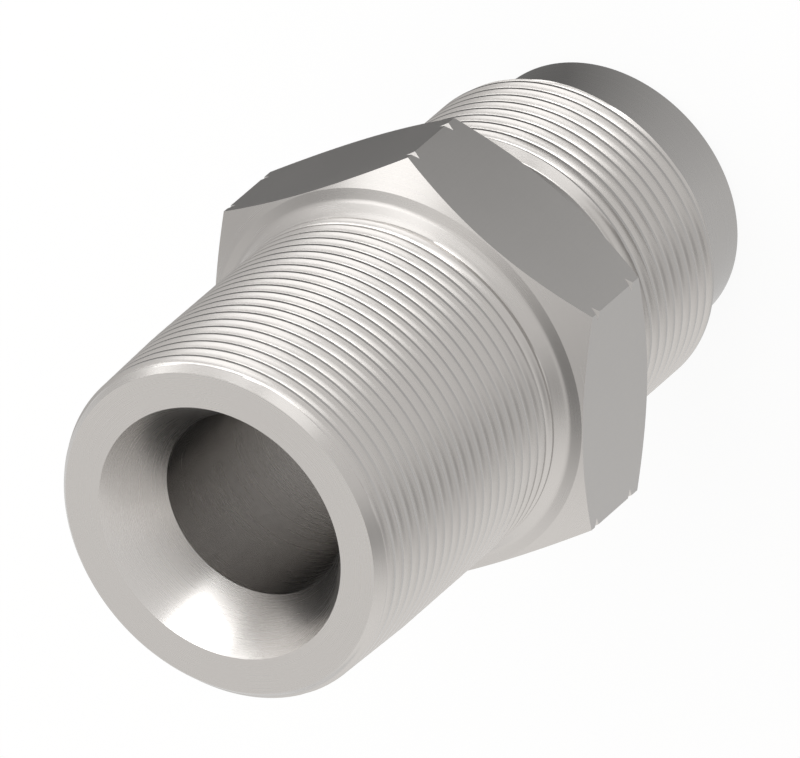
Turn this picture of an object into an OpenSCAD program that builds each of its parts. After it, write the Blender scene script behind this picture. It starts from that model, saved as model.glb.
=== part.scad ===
// Straight adapter fitting, turned from one bar of hexagon steel, in millimetres.
// It stands on the ring at the end of its pilot, with the tapered pipe end up.
// Z is the flow axis and the origin is the centre of that ring. The hexagon has
// two flats that face +Y and -Y. Both threads are drawn as rings, one V groove
// for each turn, with the crests at their full diameter.

/* [Straight thread end] */
// Outside diameter of the straight thread
straight_thread_d = 45; // [44:0.5:47]
// Length of the straight thread, both of its end chamfers included
straight_thread_length = 19; // [15:0.5:28]
// Distance between two crests of the straight thread
straight_pitch = 2; // [1.5:0.1:3]
// Width of the chamfer that leads onto the straight thread
thread_lead = 1.1; // [0.6:0.1:1.8]
// Diameter of the smooth pilot in front of the straight thread
pilot_d = 38.6; // [36:0.1:40]
// Length of the pilot, from its end ring to the thread
pilot_length = 11.2; // [7:0.1:18]
// Width of the chamfer on the end of the pilot
pilot_chamfer = 1; // [0.4:0.1:2]
// Radius in the corner between the pilot and the thread
pilot_fillet = 0.8; // [0.3:0.1:1.2]

/* [Relief] */
// Diameter of the plain relief between the straight thread and the hexagon
relief_d = 42.7; // [41.4:0.1:43.4]
// Length of the relief, up to the face of the hexagon
relief_length = 7.7; // [5:0.1:12]
// Length of the cone that leads from the thread's last crest into the relief
relief_cone = 0.8; // [0.5:0.1:1.4]
// Radius in the corner between that cone and the relief
relief_corner = 0.5; // [0.2:0.1:0.8]
// Radius in the corner between the relief and the hexagon
relief_fillet = 1; // [0.4:0.1:1.6]

/* [Hexagon] */
// Width of the hexagon across its flats
across_flats = 54; // [54:0.5:60]
// Thickness of the hexagon from face to face
hex_thickness = 16.7; // [14:0.1:26]
// Diameter of the round face that the corner chamfers leave at each end
hex_face_d = 53.8; // [51:0.2:53.8]
// Angle between a face of the hexagon and the chamfer on its corners, in degrees
corner_angle = 30; // [20:1:35]
// Depth of the small grooves turned across the corners
notch_depth = 0.55; // [0.3:0.05:0.9]
// Width of those grooves
notch_width = 0.95; // [0.6:0.05:1.4]
// Distance from the pipe side of the hexagon to the groove near it
pipe_notch_inset = 3.8; // [3.6:0.1:5]
// Distance from the straight side of the hexagon to the groove near it
straight_notch_inset = 4.4; // [3.6:0.1:5]

/* [Tapered pipe end] */
// Diameter of the plain stretch behind the taper, over the crests
pipe_d = 48.26; // [47:0.02:51]
// Length of the pipe end, from its ring face to the face of the hexagon
pipe_length = 45; // [36:0.2:60]
// Length of the tapered stretch
taper_length = 15; // [10:0.5:24]
// Length along the axis for each unit that the diameter grows
taper_ratio = 16; // [14:1:24]
// Distance between two crests of the pipe thread
pipe_pitch = 1.975; // [1.5:0.025:3]
// Distance from the ring face to the first full crest
pipe_first_crest = 2.8; // [2:0.1:4]
// Number of turns next to the neck that get shallower
run_out_turns = 2; // [0:1:5]
// Diameter of the ring face inside the end chamfer
pipe_face_d = 45; // [42:0.2:45.8]
// Reach of the neck that flares from the pipe end out to the hexagon
neck_reach = 1.3; // [1:0.1:2]
// Hollow of the neck, how far its curve dips below a straight cone
neck_hollow = 0.16; // [0.08:0.02:0.3]

/* [Thread form] */
// Depth of the thread grooves below the crests
thread_depth = 1.1; // [0.5:0.05:1.2]
// Width of the narrow land on each crest
crest_land = 0.26; // [0.1:0.02:0.6]

/* [Bore and seat] */
// Diameter of the bore that runs right through
bore_d = 25.4; // [18:0.2:27]
// Diameter of the mouth of the cone seat in the pipe end
seat_mouth_d = 35.3; // [32:0.1:37]
// Included angle of the cone seat, in degrees
seat_angle = 60; // [50:1:90]
// Width of the chamfer where the bore leaves the pilot
bore_chamfer = 0.8; // [0.3:0.1:1.5]

/* [Hidden] */
$fn = 180;

// how far a cutting tool runs past the surface that it cuts
overcut = 1;
// nearest that a groove may come to the neck, as a share of the pitch
neck_gap = 0.15;
steel = [0.52, 0.51, 0.49];

straight_r = straight_thread_d / 2;
pilot_r = pilot_d / 2;
relief_r = relief_d / 2;
pipe_r = pipe_d / 2;
bore_r = bore_d / 2;
hex_face_r = hex_face_d / 2;
corner_r = across_flats / 2 / cos(30);

// heights above the end ring, going up the flow axis
thread_foot = pilot_length;
thread_top = thread_foot + straight_thread_length;
hex_foot = thread_top + relief_length;
hex_top = hex_foot + hex_thickness;
pipe_top = hex_top + pipe_length;
taper_foot = pipe_top - taper_length;
neck_top = hex_top + neck_reach;

// the first crest of the straight thread ends where the cone into the relief starts
straight_first_crest = thread_top - relief_cone - crest_land / 2;

// points of a quarter round in a corner; the pair gives its centre
function corner_round(centre, radius, from, to) =
    [for (a = [from : (to - from) / 8 : to]) centre + radius * [cos(a), sin(a)]];

// arc through two points that dips by sag to the left of the way from p to q
function arc_radius(p, q, sag) = norm(q - p) ^ 2 / (8 * sag) + sag / 2;
function arc_centre(p, q, sag) =
    (p + q) / 2 + (arc_radius(p, q, sag) - sag) * [q[1] - p[1], p[0] - q[0]] / norm(q - p);
function arc(p, q, sag) =
    let (
        centre = arc_centre(p, q, sag),
        from = atan2(p[1] - centre[1], p[0] - centre[0]),
        to = atan2(q[1] - centre[1], q[0] - centre[0])
    )
    [for (i = [0 : 8])
        centre + arc_radius(p, q, sag) * [cos(from + (to - from) * i / 8), sin(from + (to - from) * i / 8)]];

// outline of the pilot, the straight thread and the relief, up to the hexagon
function straight_end_outline() =
    let (
        lead = min(thread_lead, straight_r - pilot_r - pilot_fillet),
        lean = atan((straight_r - relief_r) / relief_cone),
        corner = [relief_r + relief_corner, thread_top + relief_corner * tan(lean / 2)]
    )
    concat(
        [[0, 0], [pilot_r - pilot_chamfer, 0], [pilot_r, pilot_chamfer]],
        corner_round([pilot_r + pilot_fillet, thread_foot - pilot_fillet], pilot_fillet, 180, 90),
        [
            [straight_r - lead, thread_foot],
            [straight_r, thread_foot + lead],
            [straight_r, thread_top - relief_cone],
        ],
        corner_round(corner, relief_corner, 180 + lean, 180),
        corner_round([relief_r + relief_fillet, hex_foot - relief_fillet], relief_fillet, 180, 90)
    );

// outline of the hexagon's two faces and of the cones that chamfer its corners
function hexagon_outline() =
    let (slope = (corner_r + overcut - hex_face_r) * tan(corner_angle))
    [
        [hex_face_r, hex_foot],
        [corner_r + overcut, hex_foot + slope],
        [corner_r + overcut, hex_top - slope],
    ];

// outline of the flared neck, the plain stretch, the taper and the end chamfer
function pipe_end_outline() =
    let (
        end_r = pipe_r - taper_length / (2 * taper_ratio),
        face_r = pipe_face_d / 2,
        // the end chamfer slopes at 45 degrees and meets the lean of the taper
        chamfer = (end_r - face_r) / (1 - 1 / (2 * taper_ratio))
    )
    concat(
        arc([hex_face_r, hex_top], [pipe_r, neck_top], neck_hollow),
        [
            [pipe_r, taper_foot],
            [face_r + chamfer, pipe_top - chamfer],
            [face_r, pipe_top],
            [0, pipe_top],
        ]
    );

// radius of the pipe end over its crests
function pipe_crest_r(height) = pipe_r - max(0, height - taper_foot) / (2 * taper_ratio);

// outline of one V groove, with its root at a depth below the crests
module thread_groove(crest_r, height, depth, pitch) {
    reach = depth + overcut;
    spread = reach * (pitch - crest_land) / (2 * thread_depth);
    translate([crest_r - depth, height])
        polygon([[0, 0], [reach, spread], [reach, -spread]]);
}

// grooves of the straight thread; the lead-in chamfer cuts across the last one
module straight_thread_grooves() {
    first = straight_first_crest - straight_pitch / 2;
    for (height = [first : -straight_pitch : thread_foot + straight_pitch / 3])
        thread_groove(straight_r, height, thread_depth, straight_pitch);
}

// grooves of the pipe thread, from the end chamfer to the shallow turns at the neck
module pipe_thread_grooves() {
    first = pipe_top - pipe_first_crest + pipe_pitch / 2;
    turns = floor((first - neck_top) / pipe_pitch + 1 - neck_gap);
    for (turn = [0 : turns - 1]) {
        height = first - turn * pipe_pitch;
        depth = thread_depth * min(1, (turns - turn) / (run_out_turns + 1));
        thread_groove(pipe_crest_r(height), height, depth, pipe_pitch);
    }
}

// blank as it leaves the lathe, threads cut, before the flats show on it
module turned_blank() {
    rotate_extrude()
        difference() {
            polygon(concat(straight_end_outline(), hexagon_outline(), pipe_end_outline()));
            straight_thread_grooves();
            pipe_thread_grooves();
        }
}

// bar that the blank is turned from: its flats stay where the lathe leaves them
module hexagon_bar() {
    translate([0, 0, -overcut])
        linear_extrude(pipe_top + 2 * overcut)
            circle(corner_r, $fn = 6);
}

// ring groove that only the corners are wide enough to meet
module corner_notch(height) {
    flare = overcut * notch_width / (2 * notch_depth);
    translate([0, 0, height])
        rotate_extrude()
            polygon([
                [corner_r - notch_depth, 0],
                [corner_r + overcut, notch_width / 2 + flare],
                [corner_r + overcut, -notch_width / 2 - flare],
            ]);
}

// flow bore with the cone seat at one end and a chamfer at the other
module waterway() {
    mouth_r = seat_mouth_d / 2;
    seat_slope = tan(seat_angle / 2);
    seat_depth = (mouth_r - bore_r) / seat_slope;
    rotate_extrude()
        polygon([
            [0, -overcut],
            [bore_r + bore_chamfer + overcut, -overcut],
            [bore_r, bore_chamfer],
            [bore_r, pipe_top - seat_depth],
            [mouth_r + overcut * seat_slope, pipe_top + overcut],
            [0, pipe_top + overcut],
        ]);
}

module adapter_body() {
    color(steel)
        difference() {
            intersection() {
                turned_blank();
                hexagon_bar();
            }
            corner_notch(hex_top - pipe_notch_inset);
            corner_notch(hex_foot + straight_notch_inset);
            waterway();
        }
}

adapter_body();
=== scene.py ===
import math

import bmesh
import bpy
import numpy as np
from mathutils import Matrix, Vector


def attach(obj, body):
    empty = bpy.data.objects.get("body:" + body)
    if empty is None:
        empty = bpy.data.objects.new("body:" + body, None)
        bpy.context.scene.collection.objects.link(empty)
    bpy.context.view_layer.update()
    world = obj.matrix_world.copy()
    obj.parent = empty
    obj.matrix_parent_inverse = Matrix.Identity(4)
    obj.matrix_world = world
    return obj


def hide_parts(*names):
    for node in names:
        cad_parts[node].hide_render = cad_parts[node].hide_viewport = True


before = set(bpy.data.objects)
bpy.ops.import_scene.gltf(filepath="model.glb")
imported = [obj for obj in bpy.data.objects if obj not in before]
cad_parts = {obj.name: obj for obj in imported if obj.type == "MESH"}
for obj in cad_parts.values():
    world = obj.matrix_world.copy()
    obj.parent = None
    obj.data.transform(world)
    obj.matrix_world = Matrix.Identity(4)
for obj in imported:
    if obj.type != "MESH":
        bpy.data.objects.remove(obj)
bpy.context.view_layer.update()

# Straight adapter fitting in bright turned steel. Lengths here are in
# millimetres and become metres when the mesh is made.
MM = 0.001

# Radii and heights of the turned outline. They are those of the CAD source, but
# for the top of the straight thread, the cone and corner of the relief and the
# neck, which follow the photograph more closely.
bore_r = 12.7
bore_chamfer = 0.8
pilot_r = 19.3
pilot_chamfer = 1.0
pilot_fillet = 0.8
straight_r = 22.5
thread_foot = 11.2
thread_lead = 1.1
relief_r = 21.35
thread_top = 30.45
relief_cone = 1.05
relief_corner = 0.3
hex_foot = 37.9
relief_fillet = 1.0
hex_top = 54.6
across_flats = 54.0
hex_face_r = 26.9
corner_slope = math.tan(math.radians(30))
corner_r = across_flats / 2 / math.cos(math.radians(30))
notch_depth = 0.55
notch_half_width = 0.475
notch_heights = (50.8, 42.3)

# the neck: how far it reaches up the pipe end, radius and rise of the two ends of
# its round, and how far the round dips below a straight line
neck_reach = 1.6
neck_round = ((25.7, 0.45), (25.05, 0.83))
neck_hollow = 0.032
neck_top = hex_top + neck_reach

# the pipe end and the cone seat in it
pipe_r = 24.13
taper_foot = 84.6
taper_ratio = 16
pipe_face_r = 22.5
pipe_top = 99.6
seat_mouth_r = 17.65
seat_half_angle = math.radians(30)
seat_foot = pipe_top - (seat_mouth_r - bore_r) / math.tan(seat_half_angle)

# Both threads are right-hand, with a narrow crest and flanks that start 60
# degrees apart and ease into the root: (part of the pitch from the crest, depth)
crest_half = 0.1
thread_form = (
    (crest_half, 0.0),
    (0.17, 0.24),
    (0.24, 0.42),
    (0.31, 0.57),
    (0.39, 0.71),
    (0.5, 0.85),
)
straight_pitch = 2.0
pipe_pitch = 1.975

# heights of a crest of each thread, on the side that faces the camera
facing_angle = math.radians(-100.8)
straight_start = 29.27
pipe_first_crest = 2.8
pipe_start = pipe_top - pipe_first_crest

# the pipe thread gets shallow over its last turns, and its groove starts at the neck
run_out_length = 4.5
run_out_lead = 1.0
run_out_curve = 0.4
neck_cut_depth = 0.95
neck_cut_length = 1.1

# Fineness of the mesh: columns of faces on each side of the hexagon, length of a
# face on plain stretches, in the neck and in the bore, rows where a chamfer or the
# relief's cone cuts a thread, and how near a row of the helix may come to the end
# of its stretch before it is drawn onto it
side_columns = 28
face_step = 1.2
neck_step = 0.4
bore_step = 3
chamfer_rows = 13
relief_cone_rows = 9
row_snap = 0.03
weld = 0.002

# sharpest bend, in degrees, that is still shaded smooth, and the radius outside
# which the threads lie
smooth_on_threads = 28
smooth_elsewhere = 8
thread_core_r = 21.25

# how near a place has to be to count as on a surface, how far the normal of an
# upright face may lean, and a width that is only a rounding error
near = 0.01
upright = 0.02
hair = 1e-6

# waves in a metre of the tool lines, the blotches and the grain, and the darkest
# and lightest share of the steel's tone
line_scale = 2600.0
blotch_scale = 60.0
grain_scale = 1500.0
darkest = 0.93
lightest = 1.05
steel_tone = (0.505, 0.49, 0.475)
# the bore and seat are painted lighter than the rest of the steel, to make up for the shade inside
# them
bore_tone_painted_lighter = (0.6, 0.585, 0.57)

# the shade card, a glowing ring that only the steel sees and that paints darker reflections of the
# floor: inner and outer radius, and its grey towards a few sides, where 0 is -Y and 90 is +X
card_sides = 72
card_ring = (19.4, 130)
painted_reflection_greys = (
    (-180, 1.0),
    (-130, 0.95),
    (-90, 0.8),
    (-40, 0.75),
    (0, 0.55),
    (50, 0.2),
    (120, 0.17),
    (180, 1.0),
)

# patches of the studio's walls and ceiling: azimuth, elevation, how narrow the
# patch is and how much lighter it is than the rest
wall_patches = (
    (-130, 20, 3, 0.30),
    (168, 46, 14, 0.22),
    (75, 72, 24, 0.40),
    (-140, 68, 16, -0.95),
    (122, 49, 36, -0.60),
    (-74, 36, 30, -0.65),
    (52, 33, 40, -0.35),
    (130, 12, 12, -0.25),
)
wall_glow = 0.95
wall_colour = (1.0, 0.985, 0.97, 1)

# soft lamps: name, azimuth, elevation, width and height in metres, and glow
softboxes = (
    ("low_softbox", 38, 15, 0.85, 0.32, 3.8),
    ("side_softbox", 80, 10, 0.5, 0.34, 2.4),
    ("front_softbox", 16, 34, 0.5, 0.45, 0.8),
    ("high_softbox", 68, 47, 0.7, 0.42, 1.3),
)
lamp_aim = (0, 0, 0.05)

# the camera: side, height and roll in degrees, distance in metres, and how far it
# stands off to the left and down in millimetres
camera_azimuth = -10.829
camera_elevation = 48.666
camera_roll = -130.889
camera_distance = 4.2752
camera_left = 26.975
camera_down = 23.576

# the floor: half its width and how far it and the card lie under the part, all in
# metres, and how much of what the camera and the steel see of it is plain white
floor_half = 6.0
floor_drop = 0.00002
card_drop = 0.00001
floor_glow = 0.9


def round_corner(centre, radius, start, end, steps=12):
    """Points (radius, height) of an arc, from one angle to another in degrees."""
    angles = np.radians(np.linspace(start, end, steps + 1))
    return [
        (centre[0] + radius * math.cos(a), centre[1] + radius * math.sin(a))
        for a in angles
    ]


def hollow_arc(p, q, sag, steps=10):
    """Points of an arc from p to q that dips by sag to the left of the way."""
    p, q = np.array(p), np.array(q)
    chord = q - p
    length = np.linalg.norm(chord)
    radius = length**2 / (8 * sag) + sag / 2
    centre = (p + q) / 2 + (radius - sag) * np.array([chord[1], -chord[0]]) / length
    start = math.degrees(math.atan2(*(p - centre)[::-1]))
    end = math.degrees(math.atan2(*(q - centre)[::-1]))
    return round_corner(centre, radius, start, end, steps)


def even_steps(p, q, step):
    """Points on the straight line from p to q, about a step apart."""
    count = max(1, round(math.dist(p, q) / step))
    p, q = np.array(p), np.array(q)
    return [tuple(p + (q - p) * k / count) for k in range(count + 1)]


class Skin:
    """Collects strips of faces that run round the axis."""

    def __init__(self, angles):
        self.angles = np.append(angles, 2 * math.pi)
        self.points = []
        self.faces = []
        self.count = 0

    def strip(self, radii, heights):
        """Adds a grid of faces; each row has a radius and a height at every angle."""
        shape = (len(radii), len(self.angles))
        radii = np.array([np.broadcast_to(r, shape[1]) for r in radii])
        heights = np.array([np.broadcast_to(h, shape[1]) for h in heights])
        grid = np.stack(
            [radii * np.cos(self.angles), radii * np.sin(self.angles), heights], axis=2
        )
        index = self.count + np.arange(grid.shape[0] * grid.shape[1]).reshape(shape)
        quads = np.stack(
            [index[:-1, :-1], index[:-1, 1:], index[1:, 1:], index[1:, :-1]], axis=2
        )
        self.points.append(grid.reshape(-1, 3))
        self.faces.append(quads.reshape(-1, 4))
        self.count += index.size

    def turned(self, outline):
        """Adds the surface that a plain outline of (radius, height) points sweeps."""
        self.strip([r for r, _ in outline], [h for _, h in outline])


def column_angles():
    """Angles of the columns of faces, with extra ones where a groove crosses a corner."""
    groove_reach = 30 - math.degrees(math.acos(across_flats / 2 / (corner_r - notch_depth)))
    angles = []
    for corner in range(6):
        angles += [60 * corner + a for a in (0, groove_reach / 2, groove_reach)]
        angles += [60 * (corner + k / side_columns) for k in range(1, side_columns)]
        angles += [60 * (corner + 1) - groove_reach, 60 * (corner + 1) - groove_reach / 2]
    return np.radians(angles)


def form_depth(part):
    """Depth of the thread form at a part of the pitch, counted from a crest."""
    away = np.abs((part + 0.5) % 1 - 0.5)
    return np.interp(away, [x for x, _ in thread_form], [d for _, d in thread_form])


def helix_part(height, angles, pitch, start):
    """Turns from the crest that passes start on the camera's side up to a height."""
    return (height - start) / pitch - (angles - facing_angle) / (2 * math.pi)


def helical_strip(skin, foot, top, pitch, start, envelope, cut):
    """Adds a threaded stretch whose rows of faces wind up along the helix."""
    lines = sorted({s * x for x, _ in thread_form for s in (-1, 1)} - {-0.5})
    first = math.floor((foot - start) / pitch) - 1
    last = math.ceil((top - start) / pitch) + 2
    climb = pitch * (skin.angles - facing_angle) / (2 * math.pi)
    # one row runs along each bend of the form, on every turn
    rows = [start + pitch * (turn + line) + climb for turn in range(first, last) for line in lines]
    heights = np.array(rows)
    heights[heights < foot + row_snap] = foot
    heights[heights > top - row_snap] = top
    # of the rows that lie wholly along the foot or the top, one is kept at each
    used = [k for k in range(len(heights)) if np.ptp(heights[k]) > 0]
    heights = heights[[used[0] - 1] + used + [used[-1] + 1]]
    part = helix_part(heights, skin.angles, pitch, start)
    # height of the root of the groove that each point lies in
    root = heights + pitch * (np.floor(part) + 0.5 - part)
    skin.strip(envelope(heights) - cut(heights, root, form_depth(part)), heights)


def coned_strip(skin, rows, pitch, start, envelope, cone):
    """Adds the end of a thread, where a chamfer cuts across its turns."""
    radii = []
    for height in rows:
        part = helix_part(height, skin.angles, pitch, start)
        threaded = envelope(height) - form_depth(part)
        radii.append(np.minimum(threaded, cone(height)))
    skin.strip(radii, rows)


def straight_envelope(height):
    """Radius over the crests of the straight thread."""
    return straight_r + 0 * height


def pipe_envelope(height):
    """Radius over the crests of the pipe thread, straight and then tapered."""
    return pipe_r - np.maximum(0, height - taper_foot) / (2 * taper_ratio)


def full_cut(height, root, depth):
    """Depth of the straight thread, the same on every turn."""
    return depth


def fading_cut(height, root, depth):
    """Depth of the pipe thread, whose last turns get shallow before the neck."""
    fade = np.clip((root - neck_top + run_out_lead) / run_out_length, 0, 1) ** run_out_curve
    rise = np.clip((height - neck_top) / neck_cut_length, 0, 1)
    return np.minimum(fade * depth, neck_cut_depth * np.sin(rise * math.pi / 2))


def relief_outline():
    """Arc between the cone at the thread's end and the relief."""
    lean = math.degrees(math.atan2(straight_r - relief_r, relief_cone))
    lift = relief_corner * math.tan(math.radians(lean / 2))
    centre = (relief_r + relief_corner, thread_top + lift)
    return round_corner(centre, relief_corner, 180 + lean, 180)


def add_straight_end(skin):
    """Pilot, straight thread and relief, from the end ring up to the hexagon."""
    skin.turned(even_steps((bore_r + bore_chamfer, 0), (pilot_r - pilot_chamfer, 0), face_step))
    skin.turned([(pilot_r - pilot_chamfer, 0), (pilot_r, pilot_chamfer)])
    corner = thread_foot - pilot_fillet
    skin.turned(even_steps((pilot_r, pilot_chamfer), (pilot_r, corner), face_step))
    skin.turned(round_corner((pilot_r + pilot_fillet, corner), pilot_fillet, 180, 90))
    foot_r = straight_r - thread_lead
    skin.turned([(pilot_r + pilot_fillet, thread_foot), (foot_r, thread_foot)])
    turns = (straight_pitch, straight_start, straight_envelope)
    full_foot = thread_foot + thread_lead
    full_top = thread_top - relief_cone
    lead_rows = np.linspace(thread_foot, full_foot, chamfer_rows)
    coned_strip(skin, lead_rows, *turns, lambda h: foot_r + h - thread_foot)
    helical_strip(skin, full_foot, full_top, *turns, full_cut)
    outline = relief_outline()
    cone_rise = outline[0][1] - full_top
    cone_rows = [full_top + cone_rise * k / relief_cone_rows for k in range(relief_cone_rows)]
    cone_rows += [height for _, height in outline]
    cone_radii = [straight_r] + [radius for radius, _ in outline]
    cone_heights = [full_top] + [height for _, height in outline]
    coned_strip(skin, cone_rows, *turns, lambda h: np.interp(h, cone_heights, cone_radii))


def add_relief(skin):
    """Plain relief and the round into the hexagon's face."""
    foot = relief_outline()[-1][1]
    skin.turned(even_steps((relief_r, foot), (relief_r, hex_foot - relief_fillet), face_step))
    centre = (relief_r + relief_fillet, hex_foot - relief_fillet)
    skin.turned(round_corner(centre, relief_fillet, 180, 90))
    skin.turned(even_steps((relief_r + relief_fillet, hex_foot), (hex_face_r, hex_foot), face_step))


def add_hexagon(skin):
    """Flats, corner chamfers and the small grooves across the corners."""
    from_flat = (skin.angles % (math.pi / 3)) - math.pi / 6
    out = across_flats / 2 / np.cos(from_flat)
    rise = (out - hex_face_r) * corner_slope
    radii = [hex_face_r, out]
    heights = [hex_foot, hex_foot + rise]
    groove_r = corner_r - notch_depth
    reach = np.maximum(0, out - groove_r) * notch_half_width / notch_depth
    reach[reach < hair] = 0
    for notch in reversed(notch_heights):
        radii += [out, np.minimum(out, groove_r), out]
        heights += [notch - reach, notch, notch + reach]
    radii += [out, hex_face_r]
    heights += [hex_top - rise, hex_top]
    skin.strip(radii, heights)


def add_pipe_end(skin):
    """Neck, pipe thread, end chamfer and the ring face."""
    outer, inner = [(radius, hex_top + rise) for radius, rise in neck_round]
    skin.turned(even_steps((hex_face_r, hex_top), outer, neck_step))
    skin.turned(hollow_arc(outer, inner, neck_hollow))
    skin.turned(even_steps(inner, (pipe_r, neck_top), neck_step))
    lean = 1 - 1 / (2 * taper_ratio)
    end_r = pipe_r - (pipe_top - taper_foot) / (2 * taper_ratio)
    chamfer = (end_r - pipe_face_r) / lean
    turns = (pipe_pitch, pipe_start, pipe_envelope)
    full_top = pipe_top - chamfer
    helical_strip(skin, neck_top, full_top, *turns, fading_cut)
    end_rows = np.linspace(full_top, pipe_top, chamfer_rows)
    coned_strip(skin, end_rows, *turns, lambda h: pipe_face_r + pipe_top - h)
    skin.turned(even_steps((pipe_face_r, pipe_top), (seat_mouth_r, pipe_top), face_step))


def add_waterway(skin):
    """Cone seat and bore, down to the chamfer at the pilot."""
    skin.turned(even_steps((seat_mouth_r, pipe_top), (bore_r, seat_foot), face_step))
    skin.turned(even_steps((bore_r, seat_foot), (bore_r, bore_chamfer), bore_step))
    skin.turned([(bore_r, bore_chamfer), (bore_r + bore_chamfer, 0)])


def mark_edges(mesh_data):
    """Shades the body smooth and keeps its turned and milled edges crisp."""
    body = bmesh.new()
    body.from_mesh(mesh_data)
    for face in body.faces:
        face.smooth = True
    for edge in body.edges:
        middle = (edge.verts[0].co + edge.verts[1].co) / 2 / MM
        threaded = thread_foot < middle.z < thread_top or middle.z > neck_top
        threaded = threaded and middle.xy.length > thread_core_r
        limit = math.radians(smooth_on_threads if threaded else smooth_elsewhere)
        edge.smooth = len(edge.link_faces) == 2 and edge.calc_face_angle() < limit
    body.to_mesh(mesh_data)
    body.free()


def face_finish(face):
    """Number of the finish that a face has: turned, drawn or bored, which is painted lighter."""
    middle = face.calc_center_median() / MM
    radius = middle.xy.length
    if radius > across_flats / 2 - near and abs(face.normal.z) < upright:
        return 1
    if radius < seat_mouth_r and middle.z < pipe_top - near and middle.z > bore_chamfer:
        return 2
    return 0


def adapter_mesh():
    """One closed mesh of the whole fitting."""
    skin = Skin(column_angles())
    add_straight_end(skin)
    add_relief(skin)
    add_hexagon(skin)
    add_pipe_end(skin)
    add_waterway(skin)
    points = np.concatenate(skin.points) * MM
    faces = np.concatenate(skin.faces)
    mesh_data = bpy.data.meshes.new("adapter")
    mesh_data.from_pydata(points.tolist(), [], faces.tolist())
    body = bmesh.new()
    body.from_mesh(mesh_data)
    bmesh.ops.remove_doubles(body, verts=body.verts, dist=weld * MM)
    bmesh.ops.dissolve_degenerate(body, dist=weld * MM, edges=body.edges)
    bmesh.ops.recalc_face_normals(body, faces=body.faces)
    for face in body.faces:
        face.material_index = face_finish(face)
    body.to_mesh(mesh_data)
    body.free()
    mark_edges(mesh_data)
    return mesh_data


class Field:
    """A number that varies over a surface. Plain operators add its Math nodes."""

    def __init__(self, maker, socket):
        self.maker = maker
        self.socket = socket

    def _math(self, operation, *terms):
        values = dict(enumerate(terms))
        return self.maker.node("ShaderNodeMath", {"operation": operation}, values)

    def __add__(self, other):
        return self._math("ADD", self, other)

    def __radd__(self, other):
        return self._math("ADD", other, self)

    def __sub__(self, other):
        return self._math("SUBTRACT", self, other)

    def __rsub__(self, other):
        return self._math("SUBTRACT", other, self)

    def __mul__(self, other):
        return self._math("MULTIPLY", self, other)

    def __rmul__(self, other):
        return self._math("MULTIPLY", other, self)

    def __truediv__(self, other):
        return self._math("DIVIDE", self, other)

    def __rtruediv__(self, other):
        return self._math("DIVIDE", other, self)

    def __pow__(self, other):
        return self._math("POWER", self, other)

    def __rpow__(self, other):
        return self._math("POWER", other, self)

    def arctan2(self, other):
        return self._math("ARCTAN2", self, other)

    def at_least(self, other):
        return self._math("MAXIMUM", self, other)


class Nodes:
    """Fills one node tree, of a material or of the world."""

    def __init__(self, owner):
        owner.use_nodes = True
        self.tree = owner.node_tree
        self.tree.nodes.clear()

    def node(self, kind, settings=None, sockets=None, output=None):
        """Adds a node, sets it up, fills its sockets and gives back one output."""
        made = self.tree.nodes.new(kind)
        for name, value in (settings or {}).items():
            if name == "stops":
                ramp = made.color_ramp
                while len(ramp.elements) < len(value):
                    ramp.elements.new(0.5)
                for stop, (place, colour) in zip(ramp.elements, value):
                    stop.position = place
                    stop.color = colour
            else:
                setattr(made, name, value)
        for name, value in (sockets or {}).items():
            self.fill(self.find(made.inputs, name), value)
        if not made.outputs:
            return made
        return Field(self, self.find(made.outputs, 0 if output is None else output))

    @staticmethod
    def find(sockets, name):
        """Socket in use with that name, or at that place."""
        used = [s for s in sockets if s.enabled]
        if isinstance(name, int):
            return used[name]
        return next(s for s in used if s.name == name)

    def fill(self, socket, value):
        """Links a field to a socket, or sets the socket's own value."""
        if isinstance(value, Field):
            self.tree.links.new(value.socket, socket)
        else:
            socket.default_value = value

    def blend(self, factor, first, second):
        """Colour between two colours."""
        return self.node(
            "ShaderNodeMix",
            {"data_type": "RGBA"},
            {"Factor": factor, "A": first, "B": second},
            "Result",
        )


def surface_places(nodes):
    """Place on the part, and its parts along X, Y and Z."""
    place = nodes.node("ShaderNodeTexCoord", output="Object")
    x = nodes.node("ShaderNodeSeparateXYZ", sockets={"Vector": place}, output="X")
    parts = x.socket.node.outputs
    return place, x, Field(nodes, parts["Y"]), Field(nodes, parts["Z"])


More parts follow.
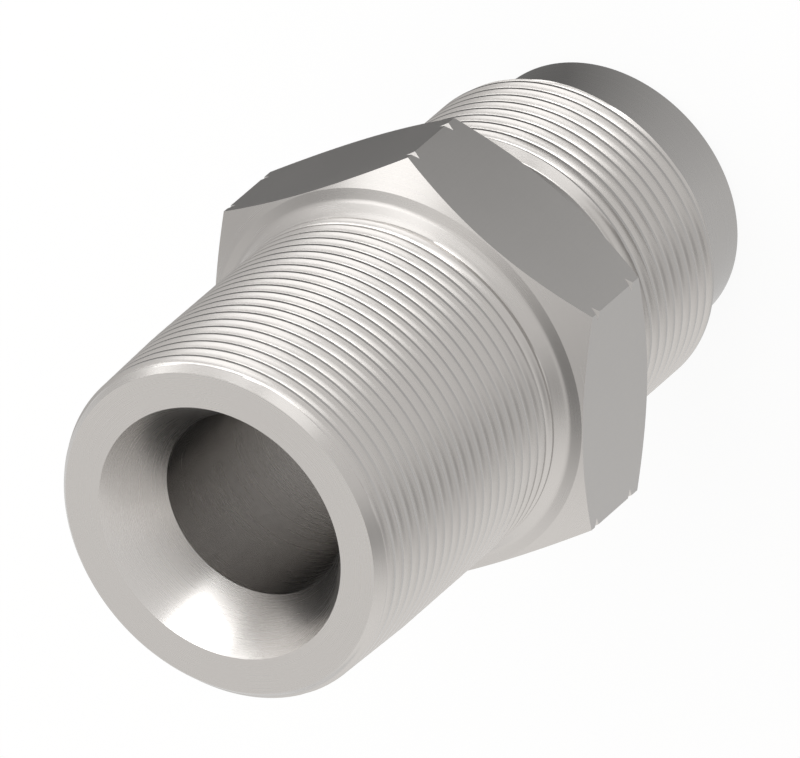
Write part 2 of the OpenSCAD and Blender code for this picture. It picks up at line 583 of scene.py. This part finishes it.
def steel(name, tone, roughness, lines_along, line_height):
    """Steel with fine tool lines, faint blotches and a roughness that drifts."""
    material = bpy.data.materials.new(name)
    nodes = Nodes(material)
    place, x, y, z = surface_places(nodes)
    along = lines_along(x, y, z)
    tool_lines = nodes.node(
        "ShaderNodeTexNoise",
        {"noise_dimensions": "1D"},
        {"W": along, "Scale": line_scale, "Detail": 2.0, "Roughness": 0.6},
        "Fac",
    )
    blotches = nodes.node(
        "ShaderNodeTexNoise",
        None,
        {"Vector": place, "Scale": blotch_scale, "Detail": 3.0, "Roughness": 0.55},
        "Fac",
    )
    grain = nodes.node(
        "ShaderNodeTexNoise",
        None,
        {"Vector": place, "Scale": grain_scale, "Detail": 2.0, "Roughness": 0.5},
        "Fac",
    )
    dark = tuple(darkest * t for t in tone) + (1,)
    light = tuple(lightest * t for t in tone) + (1,)
    shade = 0.5 * blotches + 0.3 * tool_lines + 0.2 * grain
    colour = nodes.blend(shade, dark, light)
    rough = roughness - 0.05 + 0.06 * blotches + 0.04 * tool_lines
    height = 0.85 * tool_lines + 0.15 * grain
    bump = nodes.node(
        "ShaderNodeBump",
        None,
        {"Strength": 1.0, "Distance": line_height * MM, "Height": height},
    )
    shader = nodes.node(
        "ShaderNodeBsdfPrincipled",
        None,
        {"Base Color": colour, "Metallic": 1.0, "Roughness": rough, "Normal": bump},
    )
    nodes.node("ShaderNodeOutputMaterial", None, {"Surface": shader})
    return material


def round_the_axis(x, y, z):
    """Way along the outline, so that its lines run round the axis."""
    return 0.8 * z + 1.3 * (x * x + y * y) ** 0.5


def down_the_bar(x, y, z):
    """Way round the bar, so that its lines run down the flats."""
    return 1.37 * x + 2.19 * y


def white_floor():
    """Pale floor that shows white to the camera and in the steel, and keeps the shadow."""
    material = bpy.data.materials.new("floor_paper")
    nodes = Nodes(material)
    camera = nodes.node("ShaderNodeLightPath", output="Is Camera Ray")
    rays = camera.socket.node.outputs
    glossy = Field(nodes, rays["Is Glossy Ray"])
    through = Field(nodes, rays["Is Transmission Ray"])
    seen = camera + glossy + through
    paper = nodes.node(
        "ShaderNodeBsdfDiffuse", None, {"Color": (0.95, 0.95, 0.95, 1), "Roughness": 0.0}
    )
    glow = nodes.node(
        "ShaderNodeEmission", None, {"Color": (1, 1, 1, 1), "Strength": 1.0}
    )
    shader = nodes.node("ShaderNodeMixShader", None, {0: floor_glow * seen, 1: paper, 2: glow})
    nodes.node("ShaderNodeOutputMaterial", None, {"Surface": shader})
    return material


def add_object(name, data):
    """Puts a new object in the scene."""
    made = bpy.data.objects.new(name, data)
    bpy.context.scene.collection.objects.link(made)
    return made


def direction(azimuth, elevation):
    """Unit vector towards a side of the part; azimuth 0 is towards -Y and 90 towards +X."""
    a, e = math.radians(azimuth), math.radians(elevation)
    return Vector((math.sin(a) * math.cos(e), -math.cos(a) * math.cos(e), math.sin(e)))


def add_camera():
    """Long lens at the photograph's angle, 800 by 758."""
    lens = bpy.data.cameras.new("camera")
    lens.lens = 1500
    lens.sensor_width = 36
    lens.clip_start = 0.5
    lens.clip_end = 20
    camera = add_object("camera", lens)
    back = direction(camera_azimuth, camera_elevation)
    level = direction(camera_azimuth + 90, 0)
    rise = back.cross(level)
    roll = math.radians(camera_roll)
    right = math.cos(roll) * level + math.sin(roll) * rise
    up = math.cos(roll) * rise - math.sin(roll) * level
    place = (-camera_left * right - camera_down * up) * MM + back * camera_distance
    turn = Matrix((right, up, back)).transposed().to_4x4()
    camera.matrix_world = Matrix.Translation(place) @ turn
    bpy.context.scene.camera = camera


def add_softbox(name, azimuth, elevation, width, height, glow):
    """Large soft lamp a metre away; a glow of 1 looks as bright as white paper."""
    lamp = bpy.data.lights.new(name, "AREA")
    lamp.shape = "RECTANGLE"
    lamp.size = width
    lamp.size_y = height
    lamp.energy = glow * math.pi * width * height
    box = add_object(name, lamp)
    out = direction(azimuth, elevation)
    box.location = Vector(lamp_aim) + out
    box.rotation_mode = "QUATERNION"
    box.rotation_quaternion = out.to_track_quat("Z", "Y")


def patch(nodes, way, azimuth, elevation, narrow):
    """Soft round patch of the surroundings, 1 at its middle."""
    facing = nodes.node(
        "ShaderNodeVectorMath",
        {"operation": "DOT_PRODUCT"},
        {0: way, 1: direction(azimuth, elevation)},
        "Value",
    )
    return facing.at_least(0.0) ** narrow


def light_the_studio():
    """Pale surroundings with lighter and darker patches, and the softboxes."""
    world = bpy.data.worlds.new("studio")
    bpy.context.scene.world = world
    nodes = Nodes(world)
    way = nodes.node("ShaderNodeTexCoord", output="Generated")
    level = wall_glow
    for azimuth, elevation, narrow, lighter in wall_patches:
        level = level + lighter * patch(nodes, way, azimuth, elevation, narrow)
    glow = nodes.node("ShaderNodeBackground", None, {"Color": wall_colour, "Strength": level})
    nodes.node("ShaderNodeOutputWorld", None, {"Surface": glow})
    for softbox in softboxes:
        add_softbox(*softbox)


def add_floor():
    """Wide floor that the pilot's end ring stands on."""
    mesh_data = bpy.data.meshes.new("floor")
    corners = [(floor_half * x, floor_half * y, 0) for x, y in ((-1, -1), (1, -1), (1, 1), (-1, 1))]
    mesh_data.from_pydata(corners, [], [(0, 1, 2, 3)])
    mesh_data.materials.append(white_floor())
    floor = add_object("floor", mesh_data)
    floor.location.z = -floor_drop


def painted_reflection_card():
    """Glowing grey, a painted reflection that changes all the way round the foot of the part."""
    material = bpy.data.materials.new("painted_reflection_card")
    nodes = Nodes(material)
    place, x, y, z = surface_places(nodes)
    turn = x.arctan2(0 - y) / (2 * math.pi) + 0.5
    stops = [((az + 180) / 360, (grey, grey, grey, 1)) for az, grey in painted_reflection_greys]
    tone = nodes.node("ShaderNodeValToRGB", {"stops": stops}, {"Fac": turn}, "Color")
    # the card glows with its grey, a painted reflection that darkens the steel on some sides
    glow = nodes.node("ShaderNodeEmission", None, {"Color": tone, "Strength": 1.0})
    nodes.node("ShaderNodeOutputMaterial", None, {"Surface": glow})
    return material


def add_shade_card():
    """Glowing ring on the floor, seen only in the steel, that paints its reflections darker like a
    flag.
    """
    mesh_data = bpy.data.meshes.new("shade_card")
    sides = np.radians([360 / card_sides * k for k in range(card_sides)])
    rim = [(r * math.cos(a), r * math.sin(a), 0) for r in card_ring for a in sides]
    after = [(k + 1) % card_sides for k in range(card_sides)]
    faces = [(k, after[k], after[k] + card_sides, k + card_sides) for k in range(card_sides)]
    mesh_data.from_pydata([Vector(p) * MM for p in rim], [], faces)
    mesh_data.materials.append(painted_reflection_card())
    card = add_object("shade_card", mesh_data)
    card.location.z = -card_drop
    card.visible_camera = False
    card.visible_diffuse = False
    card.visible_shadow = False
    card.visible_transmission = False


def add_adapter():
    """The fitting itself, in place of the CAD body."""
    body = add_object("dressed_adapter", adapter_mesh())
    # name, tone, roughness, way of the tool lines and their height
    finishes = (
        steel("turned_steel", steel_tone, 0.27, round_the_axis, 0.0007),
        steel("drawn_steel", steel_tone, 0.38, down_the_bar, 0.0007),
        # the bore and seat's steel is painted lighter, to make up for the shade inside them
        steel("bored_steel_painted_lighter", bore_tone_painted_lighter, 0.27, round_the_axis, 0.0004),
    )
    for finish in finishes:
        body.data.materials.append(finish)
    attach(body, "root")
    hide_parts("adapter_body")


add_camera()
light_the_studio()
add_floor()
add_shade_card()
add_adapter()

view = bpy.context.scene.view_settings
view.view_transform = "Standard"
